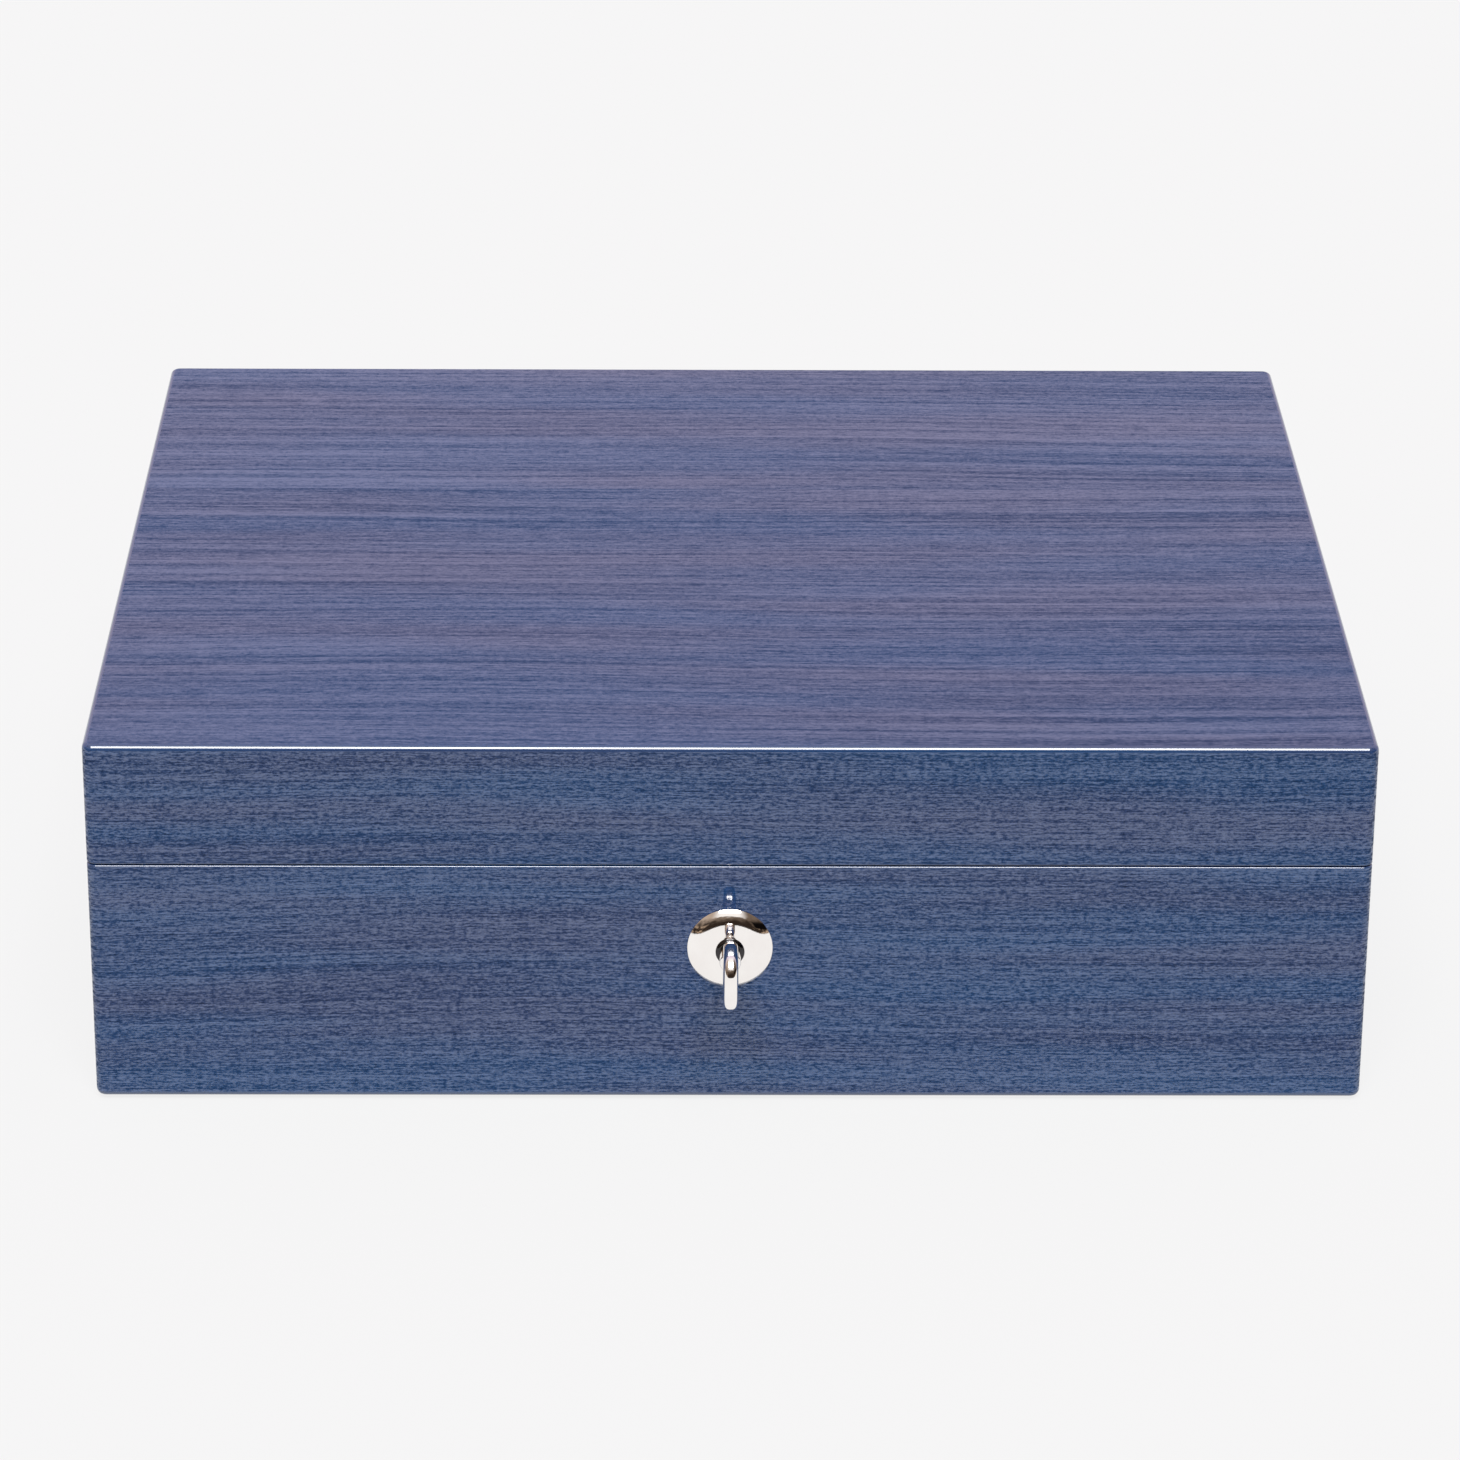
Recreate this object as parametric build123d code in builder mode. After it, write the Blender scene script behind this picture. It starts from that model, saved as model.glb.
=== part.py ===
from build123d import *
import os
from math import cos, radians, sin, sqrt

# A lockable lined case with a hinged lid, in veneered and lacquered board.
# Millimetres. +X is the right of the case, +Y its back, +Z up.
# The origin is at the centre of the underside, on the surface that the case stands on.

# ---- the case ----
case_width = 320.0
case_depth = 272.0
case_height = 98.0
wall = 12.0  # walls and lid rails
corner_round = 2.6  # upright corners
top_round = 1.5  # edges of the lid's top
foot_round = 1.5  # lower outer edges of the base
arris = 0.4  # eased edges along the lid line
felt_thick = 1.0
felt_inset = 5.0
rim = 65.5  # top of the base walls
lid_gap = 0.3
lid_panel = 9.0
floor_panel = 6.0
floor_rebate = 6.0  # how far the floor panel reaches under the walls
glue_line = 0.1

# ---- the lining ----
liner = 3.0
liner_gap = 0.3  # between the liner's lip and the lid rails
lip = 6.0  # how far the base liner stands above the rim
lip_round = 1.0
lid_liner_gap = 0.8  # between the two liners when the lid is shut
floor_pad = 5.0
lid_pad = 4.0
pad_gap = 0.3
pad_round = 1.6

# ---- the hinges ----
hinge_x = 100.0
leaf_length = 38.0
leaf_thick = 2.4
leaf_front = 10.5  # how far the leaves reach in from the back face
barrel_r = 2.4
barrel_out = 2.2  # the pin's axis, behind the back face
barrel_clear = 0.25
pin_r = 1.2
pin_running = 0.05
lid_knuckle = 12.4
knuckle_gap = 0.3
open_angle = 95.0
stop_r = 4.2
stop_slack = 0.7  # degrees left between the stop faces at the end of the travel
hinge_screw_pitch = 13.0
hinge_screw_in = 5.5  # from the back face
barrel_pocket = 0.4  # room round the barrel, cut into the boards
stop_pocket = 0.2
stop_back_angle = -155.0  # from +Y towards +Z: where the base leaf's stop begins
ear_back_angle = 100.0  # where the lid leaf's ear ends
pin_chamfer = 0.3

# ---- the lock, round the key's axis ----
key_drop = 22.4  # key axis below the rim
case_half = 24.0
case_front_skin = 3.5  # board left in front of the lock case
case_low = 13.2  # bottom of the lock case, below the key's axis
sheet = 1.0
mortise_clear = 0.1
back_inset = 0.2  # lock case, behind the wall's inner face
selvedge_thick = 2.0
selvedge_half = 30.0
selvedge_deep = 9.8
ear = 6.0
ear_half_high = 5.0
cylinder_r = 4.7
nose_r = 3.0
nose_out = 2.45  # from the front face
case_bore_r = 2.35
cover_fit = 0.1
stem_r = 2.3
stem_bore_r = 1.15
post_r = 1.0
running = 0.1
post_out = 3.5
plug_r = 3.4
plug_shaft_r = 2.2
plug_tail = 2.6  # across the flats of its square
tail_fit = 0.05
tail_lap = 0.5  # how far the square reaches back into the round shaft
tongue_half = 0.6  # the tongue on the plug that the key's notch takes
tongue_tall = 2.1
tongue_out = 1.8
notch_slack = 0.15
cam_r = 5.2
cam_thick = 1.2
cam_screw_r = 0.5
cam_screw_deep = 2.4
cam_head_r = 1.9
cam_head = 0.5
cam_slot = 0.5
crank = 3.5  # radius of the cam's drive pin
crank_half_turn = 45.0  # degrees to each side of the middle of the bolt's travel
crank_pin_r = 1.0
crank_pin_past = 0.4  # beyond the bolt
fork_clear = 0.15
fork_half = 4.0
fork_foot = 1.35  # the fork's lower end, above the key's axis
fork_slot_over = 1.2
bolt_thick = 2.0
bar_over_key = 10.3  # the middle of the bolt's bar, above the key's axis
bar_half = 3.0
bar_right = 9.0
finger_over_bar = 3.9
finger_half = 1.15
finger_long = 6.5
finger_root = 2.5
finger_skim = 0.2
finger_gap = 1.5  # from a finger's tip to its loop, unlocked
guide_r = 1.1
guide_fit = 0.1
bolt_travel = 2 * crank * sin(radians(crank_half_turn))
notch_x = 8.0
notch_r = 0.7
spring_strip = 0.4
spring_tip_r = 0.55
spring_skim = 0.1
spring_bend_r = 1.2
loop_x = 12.0
loop_thick = 2.0
loop_wide = 5.4
loop_drop = 8.5
loop_wall = 1.3
loop_top = 2.3  # solid part of a loop under the plate
slot_over_thick = 1.2
slot_over_wide = 0.8
strike_half = 24.0
strike_thick = 2.0
strike_in = 2.5  # its front edge, behind the front face
strike_back_in = 0.7  # its back edge, in front of the rail's inner face

# ---- the rose and the key ----
rose_r = 10.7
rose_edge = 0.2
rose_flat_r = 7.2  # inside it the rose is nearly flat
rose_flat_slope = 10.5  # degrees
rose_edge_slope = 40.0
rose_hole_r = nose_r + running
spigot_r = 0.8
spigot_x = 7.6
spigot = 2.4
ring_r = 3.65  # the ring over the rose's middle
ring_out = 3.4  # its front, from the front face
ring_round = 0.9
key_barrel_near = 3.7  # the key's barrel, from the front face
key_barrel_far = 8.8
key_barrel_r = 2.65
key_barrel_round = 0.35
stem_bore = 4.4
tenon_r = 1.5
tenon = 0.8
bow_out = 16.0  # the bow's centre, from the front face
bow_tall = 8.0
bow_deep = 7.6
bow_fullness = 2.7  # 2 makes the outline an ellipse, more makes it squarer
bow_eye_r = 4.2
bow_thick = 3.66
bow_edge_round = 1.15

# ---- what follows from them ----
base_low = felt_thick
lid_low = rim + lid_gap
panel_low = case_height - lid_panel
floor_top = base_low + floor_panel
lip_top = rim + lip
lid_liner_low = lip_top + lid_liner_gap
inner_width = case_width - 2 * wall
inner_depth = case_depth - 2 * wall
liner_width = inner_width - 2 * liner_gap
liner_depth = inner_depth - 2 * liner_gap
front = -case_depth / 2
back = case_depth / 2
front_inner = front + wall
back_inner = back - wall
pin_y = back + barrel_out
pin_z = rim + lid_gap / 2
key_z = rim - key_drop
case_low_z = key_z - case_low
case_top_z = rim - selvedge_thick
case_front_y = front + case_front_skin
case_back_y = front_inner - back_inset
skin_y = case_front_y + sheet  # inner side of the lock case's front plate
cover_y = case_back_y - sheet
cam_y = skin_y + 0.3
cam_back_y = cam_y + cam_thick
bolt_y = cam_back_y + 0.65
bolt_mid_y = bolt_y + bolt_thick / 2
stem_end_y = front + 0.9
plug_face_y = stem_end_y + 0.1
bow_y = front - bow_out

SIDES = ("front", "back", "left", "right")
X_DIR, Y_DIR, Z_DIR = (1, 0, 0), (0, 1, 0), (0, 0, 1)
OUT_DIR = (0, -1, 0)  # out of the front face


# ---- helpers, all used inside an open BuildPart ----
def block(x0, x1, y0, y1, z0, z1, mode=Mode.ADD):
    """A box between two corners."""
    with Locations(((x0 + x1) / 2, (y0 + y1) / 2, (z0 + z1) / 2)):
        Box(x1 - x0, y1 - y0, z1 - z0, mode=mode)


def rod(start, direction, radius, length, mode=Mode.ADD):
    """A cylinder from start, along direction."""
    with Locations(Plane(origin=start, z_dir=direction)):
        Cylinder(radius, length, align=(Align.CENTER, Align.CENTER, Align.MIN), mode=mode)


def screw_body(plane, head_r, shank_r, length, mode=Mode.ADD):
    """A countersunk screw's outline: its head's top on the plane, its point along the plane's -Z."""
    head_high = head_r - shank_r
    point_high = 2 * shank_r
    with Locations(plane.offset(-head_high / 2)):
        Cone(shank_r, head_r, head_high, mode=mode)
    shank_high = length - head_high - point_high
    with Locations(plane.offset(-head_high - shank_high / 2)):
        Cylinder(shank_r, shank_high, mode=mode)
    with Locations(plane.offset(-length + point_high / 2)):
        Cone(shank_r * 0.15, shank_r, point_high, mode=mode)


def screws(planes, head_r, shank_r, length, slot_angle=0.0):
    """A group of slotted countersunk screws, one on each plane."""
    with BuildPart() as group:
        for plane in planes:
            screw_body(plane, head_r, shank_r, length)
            with Locations(plane.rotated((0, 0, slot_angle))):
                Box(2.4 * head_r, 0.28 * head_r, 0.5 * head_r, mode=Mode.SUBTRACT)
    return group


def mitre_plan(side, width, depth, reach):
    """The four corners, in plan, of the part of a frame that one of its sides takes."""
    w, d = width / 2, depth / 2
    corners = {
        "front": [(-w, -d), (w, -d), (w - reach, -d + reach), (-w + reach, -d + reach)],
        "back": [(w, d), (-w, d), (-w + reach, d - reach), (w - reach, d - reach)],
        "left": [(-w, d), (-w, -d), (-w + reach, -d + reach), (-w + reach, d - reach)],
        "right": [(w, -d), (w, d), (w - reach, d - reach), (w - reach, -d + reach)],
    }
    return corners[side]


def outer_edges(face):
    """The edges round the outside of a flat ring."""
    return face.outer_wire().edges()


def frame(width, depth, thick, low, high, corner):
    """Four upright boards as one ring, before the mitres part them."""
    with BuildPart() as ring:
        with BuildSketch(Plane.XY.offset(low)):
            if corner:
                RectangleRounded(width, depth, corner)
            else:
                Rectangle(width, depth)
            Rectangle(width - 2 * thick, depth - 2 * thick, mode=Mode.SUBTRACT)
        extrude(amount=high - low)
    return ring


def base_frame():
    """The base's four walls as one ring, with the floor panel's rebate."""
    with BuildPart() as ring:
        add(frame(case_width, case_depth, wall, base_low, rim, corner_round).part)
        fillet(outer_edges(ring.faces().sort_by(Axis.Z)[0]), foot_round)
        fillet(outer_edges(ring.faces().sort_by(Axis.Z)[-1]), arris)
        half_w = inner_width / 2 + floor_rebate
        half_d = inner_depth / 2 + floor_rebate
        block(-half_w, half_w, -half_d, half_d, base_low, floor_top, mode=Mode.SUBTRACT)
    return ring


def lid_frame():
    """The lid's four rails as one ring."""
    with BuildPart() as ring:
        add(frame(case_width, case_depth, wall, lid_low, panel_low, corner_round).part)
        fillet(outer_edges(ring.faces().sort_by(Axis.Z)[0]), arris)
    return ring


def base_liner_frame():
    """The base's four liner boards as one ring, with the soft edge of the lip."""
    with BuildPart() as ring:
        add(frame(liner_width, liner_depth, liner, floor_top, lip_top, 0).part)
        fillet(ring.faces().sort_by(Axis.Z)[-1].edges(), lip_round)
    return ring


def lid_liner_frame():
    """The lid's four liner boards as one ring."""
    with BuildPart() as ring:
        add(frame(inner_width, inner_depth, liner, lid_liner_low, panel_low, 0).part)
        fillet(ring.faces().sort_by(Axis.Z)[0].edges(), lip_round)
    return ring


def mitred(ring, side, width, depth):
    """One side of a frame, cut off at its mitres. Call it inside an open BuildPart."""
    add(ring.part)
    reach = 2 * wall
    with BuildSketch(Plane.XY) as plan:
        Polygon(*mitre_plan(side, width, depth, reach), align=None)
    extrude(plan.sketch, amount=case_height, mode=Mode.INTERSECT)


# ---- places of the screws ----
def up_plane(x, y, z):
    """A screw driven downwards, its head facing up."""
    return Plane(origin=(x, y, z), x_dir=X_DIR, z_dir=Z_DIR)


def down_plane(x, y, z):
    """A screw driven upwards, its head facing down."""
    return Plane(origin=(x, y, z), x_dir=X_DIR, z_dir=(0, 0, -1))


def inner_plane(x, y, z):
    """A screw driven forwards into the front wall, its head facing the inside."""
    return Plane(origin=(x, y, z), x_dir=X_DIR, z_dir=Y_DIR)


hinge_screw_y = back - hinge_screw_in
hinge_screw_xs = [
    side * hinge_x + step * hinge_screw_pitch for side in (-1, 1) for step in (-1, 0, 1)
]
base_hinge_planes = [up_plane(x, hinge_screw_y, rim) for x in hinge_screw_xs]
lid_hinge_planes = [down_plane(x, hinge_screw_y, lid_low) for x in hinge_screw_xs]
hinge_screw = (2.1, 1.1, 11.0)
selvedge_y = case_back_y - selvedge_deep / 2
selvedge_planes = [up_plane(x, selvedge_y, rim) for x in (-26.8, 26.8)]
selvedge_screw = (2.0, 1.1, 12.0)
ear_planes = [inner_plane(x, case_back_y, key_z) for x in (-27.2, 27.2)]
ear_screw = (1.7, 0.9, 7.0)
guide_xs = (-10.5, 5.0)
bar_mid_z = key_z + bar_over_key
cover_planes = [inner_plane(x, case_back_y, bar_mid_z) for x in guide_xs]
cover_screw = (1.1, 0.5, 4.0)
strike_front_y = front + strike_in
strike_back_y = front_inner - strike_back_in
strike_planes = [down_plane(x, (strike_front_y + strike_back_y) / 2, lid_low) for x in (-20, 20)]
strike_screw = (2.0, 1.0, 9.0)


# ---- the base ----
def cut_hinge_mortises(low, high, planes, screw):
    """The pockets for both hinges' leaves, their barrels' relief and their screw holes."""
    for side in (-1, 1):
        x0 = side * hinge_x - leaf_length / 2
        x1 = side * hinge_x + leaf_length / 2
        block(x0, x1, back - leaf_front, back + 1, low, high, mode=Mode.SUBTRACT)
        rod(
            (x0, pin_y, pin_z), X_DIR, barrel_r + barrel_pocket, leaf_length,
            mode=Mode.SUBTRACT,
        )
        middle_half = lid_knuckle / 2 + knuckle_gap
        rod(
            (side * hinge_x - middle_half, pin_y, pin_z), X_DIR, stop_r + stop_pocket,
            2 * middle_half, mode=Mode.SUBTRACT,
        )
    for plane in planes:
        screw_body(plane, *screw, mode=Mode.SUBTRACT)


def cut_lock_mortise():
    """Everything that the lock takes out of the front wall."""
    clear = mortise_clear
    block(
        -case_half - clear, case_half + clear, case_front_y - clear, front_inner + 1,
        case_low_z - clear, rim, mode=Mode.SUBTRACT,
    )
    block(
        -selvedge_half, selvedge_half, case_back_y - selvedge_deep, front_inner + 1,
        case_top_z, rim + 1, mode=Mode.SUBTRACT,
    )
    ear_half = case_half + ear
    block(
        -ear_half, ear_half, cover_y, front_inner + 1,
        key_z - ear_half_high, key_z + ear_half_high, mode=Mode.SUBTRACT,
    )
    rod((0, front - 1, key_z), Y_DIR, cylinder_r + clear, wall, mode=Mode.SUBTRACT)
    for x in (-spigot_x, spigot_x):
        rod((x, front, key_z), Y_DIR, spigot_r, spigot + 0.1, mode=Mode.SUBTRACT)
    for plane in selvedge_planes:
        screw_body(plane, *selvedge_screw, mode=Mode.SUBTRACT)
    for plane in ear_planes:
        screw_body(plane, *ear_screw, mode=Mode.SUBTRACT)


def base_wall(ring, side):
    """One mitred wall of the base."""
    with BuildPart() as board:
        mitred(ring, side, case_width, case_depth)
        if side == "back":
            cut_hinge_mortises(rim - leaf_thick, rim + 1, base_hinge_planes, hinge_screw)
        if side == "front":
            cut_lock_mortise()
    return board


def base_bottom_panel():
    """The floor panel, let into the walls from below."""
    with BuildPart() as panel:
        with BuildSketch(Plane.XY.offset(base_low)):
            Rectangle(
                inner_width + 2 * (floor_rebate - glue_line),
                inner_depth + 2 * (floor_rebate - glue_line),
            )
        extrude(amount=floor_panel)
    return panel


def base_felt():
    """The baize under the case, which is all that touches the table."""
    with BuildPart() as felt:
        with BuildSketch(Plane.XY):
            RectangleRounded(case_width - 2 * felt_inset, case_depth - 2 * felt_inset, 3)
        extrude(amount=felt_thick)
    return felt


def soft_pad(width, depth, low, thick):
    """A flat pad with rounded edges."""
    with BuildPart() as pad:
        with BuildSketch(Plane.XY.offset(low)):
            RectangleRounded(width, depth, 2 * pad_round)
        extrude(amount=thick)
        fillet(pad.faces().filter_by(Axis.Z).edges(), pad_round)
    return pad


def liner_board(ring, side, width, depth):
    """One mitred liner board."""
    with BuildPart() as board:
        mitred(ring, side, width, depth)
    return board


# ---- the lid ----
def lid_rail(ring, side):
    """One mitred rail of the lid."""
    with BuildPart() as rail:
        mitred(ring, side, case_width, case_depth)
        if side == "back":
            cut_hinge_mortises(lid_low - 1, lid_low + leaf_thick, lid_hinge_planes, hinge_screw)
        if side == "front":
            block(
                -strike_half, strike_half, strike_front_y, strike_back_y,
                lid_low - 1, lid_low + strike_thick, mode=Mode.SUBTRACT,
            )
            for plane in strike_planes:
                screw_body(plane, *strike_screw, mode=Mode.SUBTRACT)
    return rail


def lid_top_panel():
    """The lid's top, with its upper edges rounded."""
    with BuildPart() as panel:
        with BuildSketch(Plane.XY.offset(panel_low)):
            RectangleRounded(case_width, case_depth, corner_round)
        extrude(amount=lid_panel)
        fillet(panel.faces().sort_by(Axis.Z)[-1].edges(), top_round)
    return panel


# ---- the hinges ----
def sector(side_x, width, inner_r, outer_r, start, end):
    """A piece of a ring round the pin, between two angles from the back, +Y, towards +Z."""
    plane = Plane(origin=(side_x - width / 2, pin_y, pin_z), x_dir=Y_DIR, z_dir=X_DIR)
    spread = end - start
    with BuildSketch(plane) as slice_of_ring:
        with BuildLine():
            outer = CenterArc((0, 0), outer_r, start, spread)
            if inner_r:
                inner = CenterArc((0, 0), inner_r, start, spread)
                Line(outer @ 0, inner @ 0)
                Line(outer @ 1, inner @ 1)
            else:
                Line(outer @ 0, (0, 0))
                Line(outer @ 1, (0, 0))
        make_face()
    extrude(slice_of_ring.sketch, amount=width)


def hinge_base_leaf(x):
    """The leaf in the base: two outer knuckles, and the stop under the middle one."""
    half = leaf_length / 2
    gap_half = lid_knuckle / 2 + knuckle_gap
    outer_knuckle = half - gap_half
    stop_angle = -open_angle / 2 - stop_slack
    with BuildPart() as leaf:
        block(x - half, x + half, back - leaf_front, pin_y, rim - leaf_thick, rim)
        for start in (x - half, x + gap_half):
            rod((start, pin_y, pin_z), X_DIR, barrel_r, outer_knuckle)
        rod(
            (x - gap_half, pin_y, pin_z), X_DIR, barrel_r + barrel_clear, 2 * gap_half,
            mode=Mode.SUBTRACT,
        )
        sector(x, lid_knuckle, barrel_r + barrel_clear, stop_r, stop_back_angle, stop_angle)
        rod((x - half, pin_y, pin_z), X_DIR, pin_r, leaf_length, mode=Mode.SUBTRACT)
        for plane in base_hinge_planes:
            screw_body(plane, *hinge_screw, mode=Mode.SUBTRACT)
    return leaf


def hinge_lid_leaf(x):
    """The leaf in the lid: the middle knuckle, with the ear that meets the stop."""
    half = leaf_length / 2
    knuckle_half = lid_knuckle / 2
    with BuildPart() as leaf:
        block(x - half, x + half, back - leaf_front, pin_y, lid_low, lid_low + leaf_thick)
        for start, end in ((x - half, x - knuckle_half), (x + knuckle_half, x + half)):
            rod(
                (start, pin_y, pin_z), X_DIR, barrel_r + barrel_clear, end - start,
                mode=Mode.SUBTRACT,
            )
        rod((x - knuckle_half, pin_y, pin_z), X_DIR, barrel_r, lid_knuckle)
        sector(x, lid_knuckle, 0, stop_r, open_angle / 2, ear_back_angle)
        rod((x - half, pin_y, pin_z), X_DIR, pin_r + pin_running, leaf_length, mode=Mode.SUBTRACT)
        for plane in lid_hinge_planes:
            screw_body(plane, *hinge_screw, mode=Mode.SUBTRACT)
    return leaf


def hinge_pin(x):
    """The pin, held by the base leaf's knuckles."""
    with BuildPart() as pin:
        rod((x - leaf_length / 2, pin_y, pin_z), X_DIR, pin_r, leaf_length)
        chamfer(pin.edges().filter_by(GeomType.CIRCLE), pin_chamfer)
    return pin


# ---- the lock ----
def lock_case():
    """The lock's tray, open to the inside: front plate, three walls, two ears and two guide posts."""
    with BuildPart() as tray:
        block(-case_half, case_half, case_front_y, case_back_y, case_low_z, case_top_z)
        block(
            -case_half + sheet, case_half - sheet, skin_y, case_back_y,
            case_low_z + sheet, case_top_z, mode=Mode.SUBTRACT,
        )
        for side in (-1, 1):
            x0, x1 = sorted((side * (case_half - sheet), side * (case_half + ear)))
            block(x0, x1, cover_y, case_back_y, key_z - ear_half_high, key_z + ear_half_high)
        for x in guide_xs:
            rod((x, skin_y, bar_mid_z), Y_DIR, guide_r, cover_y - skin_y)
        for plane in cover_planes + ear_planes:
            size = cover_screw if plane in cover_planes else ear_screw
            screw_body(plane, *size, mode=Mode.SUBTRACT)
        rod((0, case_front_y - 1, key_z), Y_DIR, case_bore_r, sheet + 2, mode=Mode.SUBTRACT)
    return tray


def lock_selvedge():
    """The plate in the rim, with the two slots that the strike's loops drop through."""
    slot_wide, slot_deep = loop_thick + slot_over_thick, loop_wide + slot_over_wide
    with BuildPart() as plate:
        block(
            -selvedge_half, selvedge_half, case_back_y - selvedge_deep, case_back_y,
            case_top_z, rim,
        )
        for x in (-loop_x, loop_x):
            with Locations((x, bolt_mid_y, rim)):
                Box(slot_wide, slot_deep, 3 * selvedge_thick, mode=Mode.SUBTRACT)
        for plane in selvedge_planes:
            screw_body(plane, *selvedge_screw, mode=Mode.SUBTRACT)
    return plate


def lock_cover():
    """The plate that closes the tray behind the lining."""
    inset = sheet + cover_fit
    with BuildPart() as plate:
        block(
            -case_half + inset, case_half - inset, cover_y, case_back_y,
            case_low_z + inset, case_top_z,
        )
        for plane in cover_planes:
            screw_body(plane, *cover_screw, mode=Mode.SUBTRACT)
    return plate


def lock_cylinder():
    """The tube that guides the key, from the rose to the lock case."""
    with BuildPart() as tube:
        rod((0, front, key_z), Y_DIR, cylinder_r, case_front_y - front)
        rod((0, front - nose_out, key_z), Y_DIR, nose_r, nose_out)
        rod((0, front - nose_out - 1, key_z), Y_DIR, stem_r + running, wall, mode=Mode.SUBTRACT)
        rod(
            (0, stem_end_y, key_z), Y_DIR, plug_r + running, case_front_y - stem_end_y,
            mode=Mode.SUBTRACT,
        )
    return tube


def nose_ring():
    """The ring on the end of the lock's tube, over the middle of the rose."""
    with BuildPart() as ring:
        rod((0, front - nose_out, key_z), OUT_DIR, ring_r, ring_out - nose_out)
        fillet(ring.faces().sort_by(Axis.Y)[0].edges(), ring_round)
        rod((0, front, key_z), OUT_DIR, stem_r + running, wall, mode=Mode.SUBTRACT)
    return ring


def square_tail(half, y0, y1, mode=Mode.ADD):
    """The square on the key's axis that joins the plug to the cam."""
    block(-half, half, y0, y1, key_z - half, key_z + half, mode=mode)


def lock_plug():
    """The turning plug: a post for the hollow key, a tongue for its notch, and a square tail."""
    with BuildPart() as plug:
        rod((0, plug_face_y, key_z), Y_DIR, plug_r, case_front_y - running - plug_face_y)
        rod((0, plug_face_y, key_z), Y_DIR, plug_shaft_r, cam_y - plug_face_y)
        square_tail(plug_tail / 2, cam_y - tail_lap, cam_back_y)
        rod((0, plug_face_y, key_z), OUT_DIR, post_r, post_out)
        block(
            -tongue_half, tongue_half, plug_face_y - tongue_out, plug_face_y,
            key_z - tongue_tall, key_z + tongue_tall,
        )
        rod(
            (0, cam_back_y, key_z), OUT_DIR, cam_screw_r, cam_screw_deep + 0.1,
            mode=Mode.SUBTRACT,
        )
    return plug


def drive_cam():
    """The disc on the plug's tail, with the pin that shifts the bolt."""
    pin_x = -bolt_travel / 2
    pin_over = crank * cos(radians(crank_half_turn))
    pin_long = bolt_y + bolt_thick + crank_pin_past - cam_y
    with BuildPart() as cam:
        rod((0, cam_y, key_z), Y_DIR, cam_r, cam_thick)
        square_tail(plug_tail / 2 + tail_fit, cam_y, cam_back_y, mode=Mode.SUBTRACT)
        rod((pin_x, cam_y, key_z + pin_over), Y_DIR, crank_pin_r, pin_long)
    return cam


def cam_screw():
    """The small screw that keeps the cam on the plug's tail."""
    with BuildPart() as screw:
        rod((0, cam_back_y, key_z), Y_DIR, cam_head_r, cam_head)
        rod((0, cam_back_y, key_z), OUT_DIR, cam_screw_r, cam_screw_deep)
        with Locations((0, cam_back_y + cam_head, key_z)):
            Box(3 * cam_head_r, cam_slot, cam_slot, mode=Mode.SUBTRACT)
    return screw


def lock_bolt():
    """The sliding bolt: a slotted bar, a fork round the cam's pin, and a finger for each loop."""
    bar_low, bar_high = bar_mid_z - bar_half, bar_mid_z + bar_half
    fork_x = -bolt_travel / 2
    slot_half = crank_pin_r + fork_clear
    finger_z = bar_high + finger_over_bar
    back_y = bolt_y + bolt_thick
    tips = [x - loop_thick / 2 - finger_gap for x in (-loop_x, loop_x)]
    with BuildPart() as bolt:
        block(tips[0] - finger_long, bar_right, bolt_y, back_y, bar_low, bar_high)
        block(fork_x - fork_half, fork_x + fork_half, bolt_y, back_y, key_z + fork_foot, bar_low)
        block(
            fork_x - slot_half, fork_x + slot_half, bolt_y - 1, back_y + 1,
            key_z, key_z + crank + fork_slot_over, mode=Mode.SUBTRACT,
        )
        for tip in tips:
            heel = tip - finger_long
            block(heel, heel + finger_root, bolt_y, back_y, bar_high, finger_z + finger_half)
            block(
                heel, tip, bolt_y + finger_skim, back_y - finger_skim,
                finger_z - finger_half, finger_z + finger_half,
            )
        for x in guide_xs:
            slot_middle = (x - bolt_travel / 2, bolt_y - 1, bar_mid_z)
            with BuildSketch(Plane(origin=slot_middle, x_dir=X_DIR, z_dir=Y_DIR)):
                SlotCenterToCenter(bolt_travel + 2 * guide_fit, 2 * (guide_r + guide_fit))
            extrude(amount=bolt_thick + 2, mode=Mode.SUBTRACT)
        for x in (notch_x, notch_x - bolt_travel):
            rod((x, bolt_y - 1, bar_low), Y_DIR, notch_r, bolt_thick + 2, mode=Mode.SUBTRACT)
    return bolt


def detent_spring():
    """A leaf spring whose bent end sits in one of the bolt's two notches."""
    notch_z = bar_mid_z - bar_half
    foot_x = case_half - sheet - spring_strip / 2
    tip_x = notch_x + spring_skim
    plane = Plane(origin=(0, bolt_y + spring_skim, 0), x_dir=X_DIR, z_dir=OUT_DIR)
    with BuildPart() as spring:
        with BuildSketch(plane):
            with BuildLine():
                path = FilletPolyline(
                    (foot_x, key_z - 10), (foot_x, key_z), (foot_x - 5, key_z + 4),
                    (tip_x, notch_z - 1.6), radius=spring_bend_r,
                )
            trace(path, line_width=spring_strip)
            with Locations((notch_x, notch_z - 0.2)):
                Circle(spring_tip_r)
            with Locations((tip_x, notch_z - 1)):
                Rectangle(spring_strip, 1.2)
        extrude(amount=-(bolt_thick - 2 * spring_skim))
    return spring


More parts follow.
